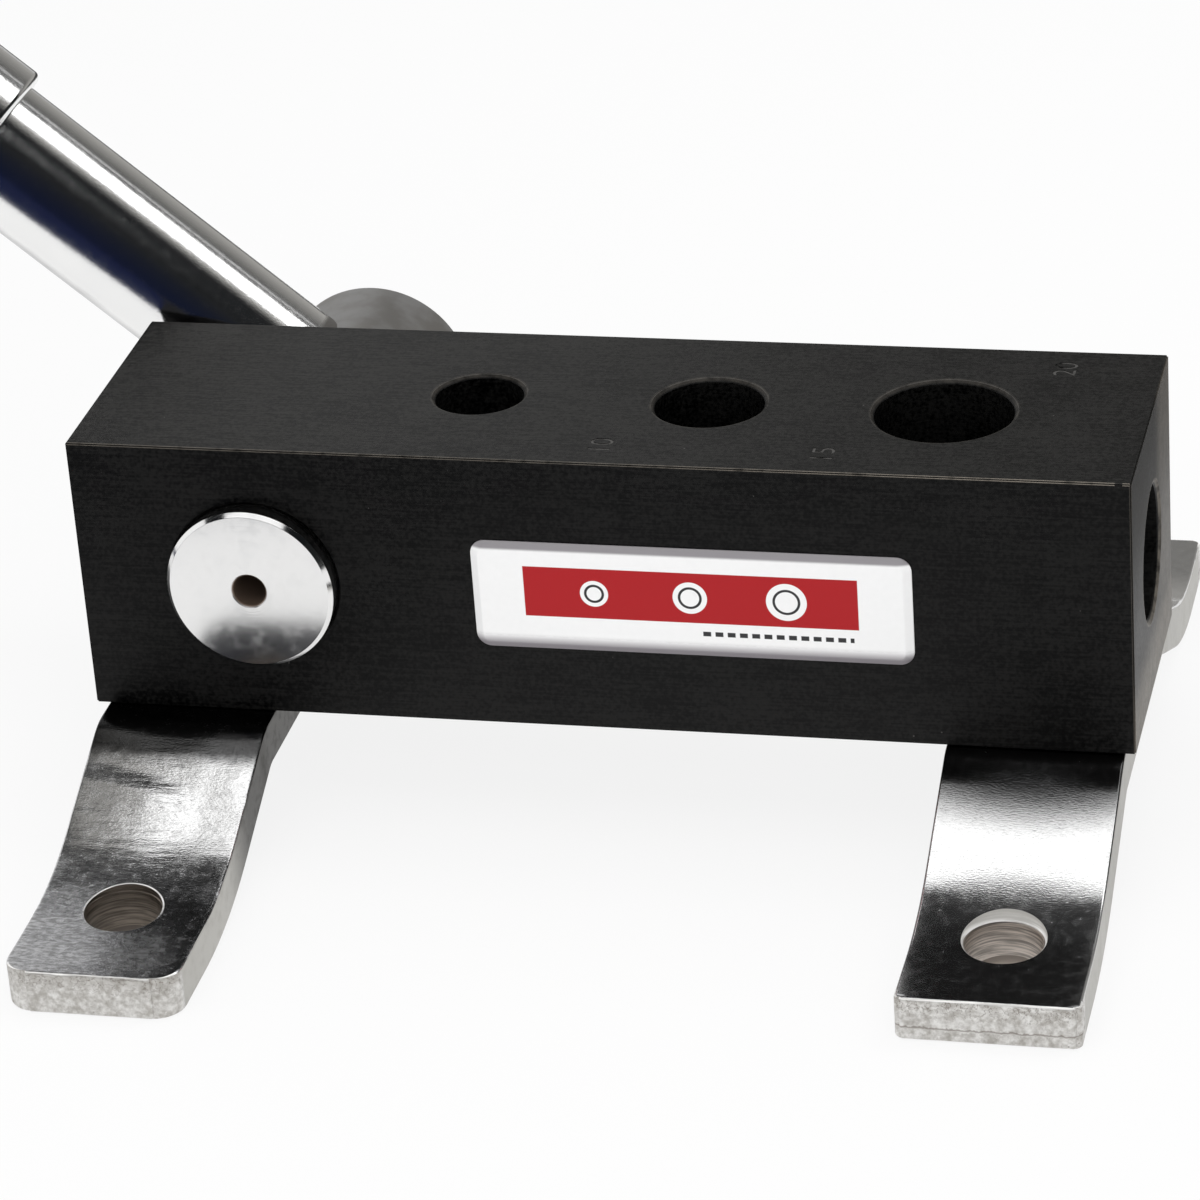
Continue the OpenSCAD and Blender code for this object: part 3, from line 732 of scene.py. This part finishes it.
def plate_print():
    """Domed white plate: a red bar with three pipe ends, a dark row of dashes, and grey shade painted along the
    long edges of the dome.
    """
    finish = Finish("plate", {"Specular IOR Level": 0.25, "Coat Weight": 0.1,
                              "Coat Roughness": 0.05})
    low, high = (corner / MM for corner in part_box("nameplate"))
    middle = (low + high) / 2
    half_height = high.z - middle.z
    along, up = finish.x - middle.x, finish.z - middle.z
    speckle = finish.noise(0.7, 3)
    bar = printed((abs(along) - BAR_HALF_LENGTH).over(abs(up - BAR_RISE) - BAR_HALF_HEIGHT))
    row = (abs(along - DASHES_MIDDLE[0]) - DASHES_HALF[0]).over(
        abs(up - DASHES_MIDDLE[1]) - DASHES_HALF[1])
    dashes = ((along * DASH_WAVES).math("SINE") * 0.5 + 0.5).rise(0.2, 0.35)
    dark = printed(row) * dashes
    for place, size in PIPE_ENDS:
        circle = (along - place).hypot(up - BAR_RISE)
        bar = bar * (1 - printed(circle - size))
        dark = dark.over(abs(circle - size * PIPE_BORE_SHARE).fall(0.2, 0.32))
    # Painted shade: grey bands on the dome's lower and upper edges
    low_edge = up.fall(0.9 - half_height, 3.8 - half_height)
    high_edge = up.rise(half_height - 1.7, half_height - 1.1)
    painted_edge_shade = low_edge.over(high_edge * 0.85)
    base = finish.mix(speckle, PLATE_DARK, PLATE_LIGHT)
    base = finish.mix(bar, base, PRINT_RED)
    base = finish.mix(dark, base, PRINT_BLACK)
    return finish.lay(
        base_color=finish.mix(painted_edge_shade, base, PLATE_PAINTED_EDGE_SHADE),
        metallic=painted_edge_shade * 0.3,
        roughness=0.22 + painted_edge_shade * 0.15 + speckle * 0.06,
        normal=finish.bump(speckle, 0.006))


def machined(name, dark, light, roughness, metallic=1.0):
    """Plain metal with a cloudy tone and fine tool grain."""
    finish = Finish(name)
    mottle = finish.noise(0.3, 4)
    grain = finish.noise(2.2, 3)
    return finish.lay(
        base_color=finish.mix(mottle, dark, light),
        metallic=metallic,
        roughness=roughness + grain * 0.12 - 0.06,
        normal=finish.bump(grain * 0.6 + mottle * 0.4, 0.01))


def dipped_vinyl():
    """Matt black dipped grip with a fine pebble."""
    finish = Finish("grip", {"Specular IOR Level": 0.4})
    pebble = finish.noise(1.3, 4)
    cloud = finish.noise(0.05, 3)
    return finish.lay(
        base_color=finish.mix(cloud, VINYL_DARK, VINYL_LIGHT),
        roughness=0.5 + pebble * 0.16,
        normal=finish.bump(pebble, 0.06))


# Pieces

def block():
    """Copy of the block with finer edges, a dented corner and the pipe sizes stamped in."""
    piece = merged_copy("block", "die_block")
    edit(piece)
    shape = bmesh.from_edit_mesh(piece.data)
    for vertex in shape.verts:
        fine_edge(vertex)
    bmesh.update_edit_mesh(piece.data)
    done()
    boolean(piece, start("dent", bpy.ops.mesh.primitive_ico_sphere_add, subdivisions=2,
                         radius=DENT_R, location=DENT_PLACE))
    for text, place in STAMPS.items():
        boolean(piece, stamp(text, place))
    smooth(piece, 30)
    return piece


def fine_edge(vertex):
    """Moves a corner of the chamfer along the block's edges out to a finer chamfer."""
    half = (BLOCK_HIGH - BLOCK_LOW) / 2
    from_middle = vertex.co - BLOCK_MIDDLE
    inset = [half[axis] - abs(from_middle[axis]) for axis in range(3)]
    if min(inset) > CLOSE:
        return
    for axis in range(3):
        if abs(inset[axis] - BLOCK_CHAMFER) < CLOSE:
            way = 1 if from_middle[axis] > 0 else -1
            vertex.co[axis] += way * (BLOCK_CHAMFER - BLOCK_FINE_EDGE)


def stamp(text, place):
    """Tool for a number that reads from the front edge to the back."""
    tool = start("stamp", bpy.ops.object.text_add, location=place - Vector((0, 0, STAMP_DEPTH)),
                 rotation=(0, 0, pi / 2))
    tool.data.body = text
    tool.data.size = STAMP_TYPE_SIZE
    alone(tool)
    bpy.ops.object.convert(target="MESH")
    tool = bpy.context.object
    apply_place(tool)
    edit(tool)
    extrude((0, 0, PAST))
    close_up()
    return tool


def label_plate():
    """Plate with round corners and a bevelled border."""
    low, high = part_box("nameplate")
    middle = (low + high) / 2
    piece = start("label_plate", bpy.ops.mesh.primitive_plane_add, size=1,
                  location=(middle.x, high.y, middle.z), rotation=(pi / 2, 0, 0))
    piece.scale = (high.x - low.x, high.z - low.z, 1)
    apply_place(piece)
    edit(piece)
    bpy.ops.mesh.bevel(offset=PLATE_CORNER_R, segments=10, affect="VERTICES")
    extrude((0, -PLATE_WALL, 0))
    thickness = high.y - low.y
    bpy.ops.mesh.inset(thickness=PLATE_BEVEL, depth=thickness - PLATE_WALL)
    bpy.ops.mesh.select_all(action="SELECT")
    bpy.ops.mesh.normals_make_consistent(inside=False)
    done()
    soften(piece, PLATE_EDGE_R, 15)
    smooth(piece)
    return piece


def strap(name, node, mount, corner_r, seat_half, upper_r, lower_r, waves, chamfer, flare):
    """Bent flat bar drawn out section by section, from its front end to its back end."""
    low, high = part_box(node)
    middle = (low + high) / 2
    width, drop = high.x - low.x, high.z - STRAP_T
    bends = upper_r + lower_r
    link = (drop - bends * (1 - cos(STRAP_SLOPE))) / sin(STRAP_SLOPE)
    uphill = Vector((0, cos(STRAP_SLOPE), sin(STRAP_SLOPE))) * link
    downhill = uphill * Vector((0, 1, -1))
    tab_start = seat_half + bends * sin(STRAP_SLOPE) + uphill.y
    end_sections = tab_end_sections(width, corner_r)
    tab = Vector((0, high.y - middle.y - tab_start - end_sections[-1][0], 0))

    piece = first_section(name, middle.x, low.y, width, end_sections[0])
    draw_sections(end_sections, middle.x, low.y, 1)
    draw_out(tab)
    lower_z, upper_z = STRAP_T / 2 + lower_r, high.z - STRAP_T / 2 - upper_r
    bend(middle.x, middle.y - tab_start, lower_z, STRAP_SLOPE)
    draw_out(uphill)
    bend(middle.x, middle.y - seat_half, upper_z, -STRAP_SLOPE)
    draw_out(Vector((0, 2 * seat_half, 0)))
    bend(middle.x, middle.y + seat_half, upper_z, -STRAP_SLOPE)
    draw_out(downhill)
    bend(middle.x, middle.y + tab_start, lower_z, STRAP_SLOPE)
    draw_out(tab)
    draw_sections(end_sections[::-1], middle.x, high.y, -1)
    close_up()

    reach = mount["dims"]["spacing_y_mm"] / 2 * MM
    hole_r = mount["dims"]["hole_r_mm"] * MM
    wide = hole_r + chamfer
    mouth_r, mouth_z = wide + flare, STRAP_T + BENCH_MOUTH_RISE
    bench_hole = [(hole_r, -PAST), (hole_r, STRAP_T - chamfer), (wide, STRAP_T),
                  (mouth_r, mouth_z), (mouth_r, mouth_z + PAST)]
    screw_hole = [(FOOT_SCREW_HOLE_R, 0), (FOOT_SCREW_HOLE_R, high.z + PAST)]
    for side in (-1, 1):
        drill = turned("drill", bench_hole, sides=BENCH_DRILL_SIDES)
        boolean(piece, put(drill, Matrix.Translation((middle.x, middle.y + side * reach, 0))))
        drill = turned("drill", screw_hole, sides=DRILL_SIDES)
        boolean(piece, put(drill, Matrix.Translation((middle.x, side * FOOT_SCREW_HALF_PITCH, 0))))
    ripple(piece, middle, seat_half + WAVES_CLEAR_OF_SEAT, reach, hole_r, waves)
    smooth(piece, 28)
    return piece


def first_section(name, middle_x, end_y, width, section):
    """Front end of a strap with rounded edges, left in edit mode and shrunk to its section."""
    middle = (middle_x, end_y, STRAP_T / 2)
    piece = start(name, bpy.ops.mesh.primitive_plane_add, size=1, rotation=(pi / 2, 0, 0),
                  location=middle)
    piece.scale = (width, STRAP_T, 1)
    apply_place(piece)
    edit(piece)
    bpy.ops.mesh.bevel(offset=STRAP_EDGE_R, segments=4, affect="VERTICES")
    pick_edges(piece, lambda edge: edge.calc_length() > width / 2)
    bpy.ops.mesh.subdivide(number_cuts=STRAP_COLUMNS)
    bpy.ops.mesh.select_all(action="SELECT")
    size = Vector((section[1] / width, 1, section[2] / STRAP_T))
    bpy.ops.transform.resize(value=size, center_override=middle)
    return piece


def tab_end_sections(width, corner_r):
    """Sections of a tab's end, round in side view and in plan: distance in, width, thickness."""
    inner = width - 2 * corner_r
    sections = []
    for turn in quarter_turn(4):
        inset = 2 * STRAP_END_R * (1 - sin(turn))
        sections.append((STRAP_END_R * (1 - cos(turn)), inner - inset, STRAP_T - inset))
    for turn in quarter_turn(8)[1:]:
        sections.append((STRAP_END_R + corner_r * (1 - cos(turn)),
                         inner + 2 * corner_r * sin(turn), STRAP_T))
    return sections


def quarter_turn(steps):
    return [step * pi / 2 / steps for step in range(steps + 1)]


def draw_sections(sections, middle_x, end_y, way):
    """Draws the selected section through tapering sections along Y."""
    for (d0, w0, t0), (d1, w1, t1) in zip(sections, sections[1:]):
        extrude((0, abs(d1 - d0), 0))
        bpy.ops.transform.resize(value=(w1 / w0, 1, t1 / t0),
                                 center_override=(middle_x, end_y + way * d1, STRAP_T / 2))


def draw_out(way):
    """Draws the selected section straight out in short steps."""
    steps = ceil(way.length / STRAP_STEP)
    for _ in range(steps):
        extrude(way / steps)


def bend(x, y, z, angle):
    """Turns the selected section about a line along X; a positive angle turns it up."""
    bpy.ops.mesh.spin(steps=BEND_STEPS, angle=-angle, center=(x, y, z), axis=(1, 0, 0))


def ripple(piece, middle, free_start, reach, hole_r, waves):
    """Gives the upper side of the strap's free ends the uneven surface of a forging."""
    def free(vertex):
        out = abs(vertex.co.y - middle.y)
        from_hole = Vector((vertex.co.x - middle.x, out - reach)).length
        clear = out > free_start and from_hole > WAVES_CLEAR_OF_HOLE * hole_r
        return clear and vertex.normal.z > 0.5

    group = piece.vertex_groups.new(name="free")
    group.add([vertex.index for vertex in piece.data.vertices if free(vertex)], 1, "REPLACE")
    texture = bpy.data.textures.new(piece.name + "_ripple", "CLOUDS")
    texture.noise_scale = WAVE_LENGTH
    modify(piece, "DISPLACE", texture=texture, texture_coords="LOCAL", strength=waves,
           mid_level=0.5, vertex_group=group.name)


def stub():
    """Bar that saddles on the hub and enters it with a spigot."""
    piece = on_lever(turned("stub", [(STUB_R, SPIGOT_R), (STUB_R, STUB_REACH - STUB_EDGE),
                                     (STUB_R - STUB_EDGE, STUB_REACH)]))
    hub = turned("hub_tool", [(HUB_R + SEAT_GAP, LEVER_Y - 2 * HUB_R),
                              (HUB_R + SEAT_GAP, LEVER_Y + 2 * HUB_R)])
    shaft_line = Matrix.Translation((PIVOT.x, 0, PIVOT.z)) @ Matrix.Rotation(-pi / 2, 4, "X")
    boolean(piece, put(hub, shaft_line))
    spigot = turned("spigot", [(SPIGOT_R, SPIGOT_FOOT), (SPIGOT_R, 2 * HUB_R)], sides=SPIGOT_SIDES)
    boolean(piece, on_lever(spigot), "UNION")
    smooth(piece)
    return piece


def sleeve():
    """Handle tube with rounded lips and a tapped hole for its set screw."""
    edge, outer, inner = SLEEVE_EDGE, SLEEVE_R, SLEEVE_BORE_R
    piece = turned("sleeve", [(outer - edge, SLEEVE_START), (outer, SLEEVE_START + edge),
                              (outer, SLEEVE_END - edge), (outer - edge, SLEEVE_END),
                              (inner, SLEEVE_END), (inner, SLEEVE_START)], hollow=True)
    soften(piece, edge / 2)
    drill = turned("drill", [(SET_SCREW_R, inner - PAST), (SET_SCREW_R, outer + PAST)],
                   sides=DRILL_SIDES)
    put(drill, Matrix.Translation((0, 0, SET_SCREW_REACH)) @ Matrix.Rotation(pi / 2, 4, "Y"))
    boolean(piece, drill)
    smooth(on_lever(piece))
    return piece


def grip():
    """Dipped grip: a cup over the handle's end with a rolled lip and a domed end."""
    rings = [(GRIP_BORE_R, SLEEVE_END + SEAT_GAP), (GRIP_BORE_R, GRIP_START),
             (GRIP_R - GRIP_LIP, GRIP_START), (GRIP_R, GRIP_START + GRIP_LIP)]
    for turn in quarter_turn(8):
        rings.append((GRIP_R - GRIP_DOME * (1 - cos(turn)),
                      GRIP_END - GRIP_DOME * (1 - sin(turn))))
    piece = turned("grip", rings)
    smooth(on_lever(piece))
    return piece


def dress(piece, material):
    piece.data.materials.clear()
    piece.data.materials.append(material)


def stand_for(piece, node, body, material):
    dress(piece, material)
    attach(piece, body)
    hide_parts(node)


chrome = lever_chrome()
stand_for(block(), "die_block", "base", black_oxide())
stand_for(label_plate(), "nameplate", "base", plate_print())
stand_for(strap("left_strap", "left_foot", LEFT_BOLTS, **LEFT_STRAP), "left_foot", "base",
          strap_chrome("left_chrome", "left_foot", LEFT_BOLTS, **LEFT_PLATING))
stand_for(strap("right_strap", "right_foot", RIGHT_BOLTS, **RIGHT_STRAP), "right_foot", "base",
          strap_chrome("right_chrome", "right_foot", RIGHT_BOLTS, **RIGHT_PLATING))
stand_for(softened_copy("shaft", "drive_shaft", SHAFT_EDGE_R), "drive_shaft", "lever",
          faced_steel())
stand_for(softened_copy("hub", "lever_hub", HUB_EDGE_R), "lever_hub", "lever",
          dull_steel())
stand_for(stub(), "lever_stub", "lever", chrome)
stand_for(sleeve(), "handle_tube", "lever", chrome)
stand_for(grip(), "handle_grip", "lever", dipped_vinyl())

zinc = machined("zinc_steel", (0.46, 0.47, 0.48), (0.60, 0.60, 0.59), 0.30)
black_screw = machined("dark_steel", (0.02, 0.02, 0.021), (0.05, 0.05, 0.052), 0.42, 0.7)
oiled = machined("tool_steel", (0.10, 0.10, 0.10), (0.22, 0.22, 0.22), 0.34)
bronze = machined("bronze", (0.42, 0.26, 0.10), (0.58, 0.38, 0.16), 0.32)
PLAIN_NODES = {
    "bore_plug": black_screw, "shaft_retainer_screw": black_screw,
    "ram_guide_screw": black_screw, "keeper_screw": black_screw, "handle_set_screw": black_screw,
    "foot_screws": zinc, "foot_washers": zinc, "foot_lock_washers": zinc, "stub_lock_pin": zinc,
    "thrust_washer": bronze, "punch_ram": oiled, "yoke_keeper": oiled}
for node, material in PLAIN_NODES.items():
    for slot in frame["nodes"][node].material_slots:
        slot.material = material


# Stage: pale floor with brown shade painted under the bench holes, white surround, soft lamps overhead and cards
# that only show in gloss

def white_rays(shading):
    """1 for the rays that see the background: straight, in gloss or through glass."""
    straight = shading.ray("Is Camera Ray")
    return straight.over(shading.ray("Is Glossy Ray")).over(shading.ray("Is Transmission Ray"))


def emptied(holder, shader):
    """Shading of a material or world with its first shader taken out."""
    holder.use_nodes = True
    holder.node_tree.nodes.remove(holder.node_tree.nodes[shader])
    return Shading(holder.node_tree)


def surface(shading, output, value):
    shading.feed(shading.tree.nodes[output].inputs["Surface"], value)


def outside_holes(x, y, mount):
    """0 on the floor in and close round a foot's bench holes, under its strap, and 1 elsewhere."""
    hole_r = mount["dims"]["hole_r_mm"] * MM
    across = x - mount["pos_m"][0]
    along = abs(y - mount["pos_m"][1]) - mount["dims"]["spacing_y_mm"] / 2 * MM
    near, far = HOLE_SHADE
    return across.hypot(along).rise(hole_r + near, hole_r + far)


def floor():
    """Paper that keeps the shadow and glows to the camera, with brown shade painted below the bench holes for the
    camera alone.
    """
    piece = start("floor", bpy.ops.mesh.primitive_plane_add, size=FLOOR_SIZE,
                  location=(0, 0, -FLOOR_GAP))
    material = bpy.data.materials.new("floor")
    shading = emptied(material, "Principled BSDF")
    place = shading.own_place()
    x, y = shading.axis(place, 0), shading.axis(place, 1)
    outside = outside_holes(x, y, LEFT_BOLTS) * outside_holes(x, y, RIGHT_BOLTS)
    # Painted shade: the floor below the bench holes turns brown for camera rays alone
    painted_shade_in_hole = (1 - outside) * shading.ray("Is Camera Ray")
    hole_painted_shade = shading.mix(x.rise(0, 20 * MM), LEFT_HOLE_PAINTED_SHADE, RIGHT_HOLE_PAINTED_SHADE)
    paper = shading.node("ShaderNodeBsdfDiffuse", None,
                         {"Color": shading.mix(painted_shade_in_hole, PAPER, hole_painted_shade)})
    glow = shading.node("ShaderNodeEmission", None, {"Color": WHITE, "Strength": 1.0})
    mixed = shading.node("ShaderNodeMixShader", None,
                         [white_rays(shading) * outside * FLOOR_GLOW, paper, glow])
    surface(shading, "Material Output", mixed)
    dress(piece, material)


def card(name, place, size, turn, low_colour, high_colour=None):
    """Flat card that shows in reflections alone, with a colour for either end of its height."""
    piece = start(name, bpy.ops.mesh.primitive_plane_add, size=1, location=place, rotation=turn)
    piece.scale = (*size, 1)
    material = bpy.data.materials.new(name)
    shading = emptied(material, "Principled BSDF")
    height = shading.axis(shading.own_place(), 1) + 0.5
    colour = shading.mix(height, low_colour, high_colour or low_colour)
    flat = shading.node("ShaderNodeEmission", None, {"Color": colour, "Strength": 1.0})
    surface(shading, "Material Output", flat)
    dress(piece, material)
    for ray in ("camera", "diffuse", "transmission", "volume_scatter", "shadow"):
        setattr(piece, "visible_" + ray, False)


def lamp(name, place, size, power, turn=FLAT, in_gloss=True):
    data = bpy.data.lights.new(name, "AREA")
    data.shape = "RECTANGLE"
    data.size, data.size_y = size
    data.energy = power
    light = bpy.data.objects.new(name, data)
    light.location = place
    light.rotation_euler = turn
    light.visible_glossy = in_gloss
    bpy.context.scene.collection.objects.link(light)


def surround():
    """White to the camera and in gloss, and a plain ambient light on everything else."""
    world = bpy.data.worlds.new("surround")
    bpy.context.scene.world = world
    shading = emptied(world, "Background")
    ambient = shading.node("ShaderNodeBackground", None, {"Color": WHITE, "Strength": AMBIENT})
    white = shading.node("ShaderNodeBackground", None, {"Color": WHITE, "Strength": 1.0})
    mixed = shading.node("ShaderNodeMixShader", None, [white_rays(shading), ambient, white])
    surface(shading, "World Output", mixed)


floor()
surround()
card("front_card", (0.2, -1.4, 0.55), (3.6, 1.1), (UPRIGHT, 0, 0), BLACK_BLUE, DARK)
card("right_card", (1.7, -0.2, 0.55), (2.4, 1.1), (UPRIGHT, 0, UPRIGHT), DARK)
card("top_card", (0.2, -0.7, 1.1), (3.6, 1.4), FLAT, BLACK)
card("top_back_card", (0.2, 0.5, 1.1), (3.6, 1.0), FLAT, DIM)
card("strip_fade_card", (0.62, -0.1, 1.0), (0.6, 0.3), FLAT, BLACK, PALE)
card("low_card", (0.15, -0.965, 0.002), (3.6, 1.3), (0, 0, radians(-20)), DARK_BLUE)
card("back_low_card", (0.1, 0.7, 0.002), (2.4, 0.6), FLAT, DIM)
card("back_card", (0.75, 1.0, 0.5), (1.9, 1.0), (UPRIGHT, 0, 0), PALE, DIM)
card("back_left_card", (-1.0, 1.0, 0.5), (1.6, 1.0), (UPRIGHT, 0, 0), LIGHT)
card("left_glow_card", (-0.48, 0.095, 1.0), (0.22, 0.29), FLAT, PALE)
lamp("overhead", (-0.035, 0.095, 1.0), (0.67, 0.29), 1.15)
lamp("front_strip", (-0.15, -0.62, 1.0), (1.2, 0.34), 1.5)
lamp("overhead_fill", (-0.05, -0.24, 1.0), (0.70, 1.02), 2.4, in_gloss=False)
lamp("lever_strip", (0.62, 0.35, 1.0), (0.6, 0.54), 2.3)
lamp("front_fill", (0.3, -1.6, 0.9), (1.6, 1.0), 7.5, (radians(65), 0, radians(10)), in_gloss=False)

camera_data = bpy.data.cameras.new("camera")
camera_data.sensor_width = SENSOR_WIDTH
camera_data.lens = LENS
camera = bpy.data.objects.new("camera", camera_data)
camera.location = CAMERA_PLACE
camera.rotation_euler = Euler([radians(turn) for turn in CAMERA_TURN])
bpy.context.scene.collection.objects.link(camera)
bpy.context.scene.camera = camera
bpy.context.scene.view_settings.view_transform = "Standard"
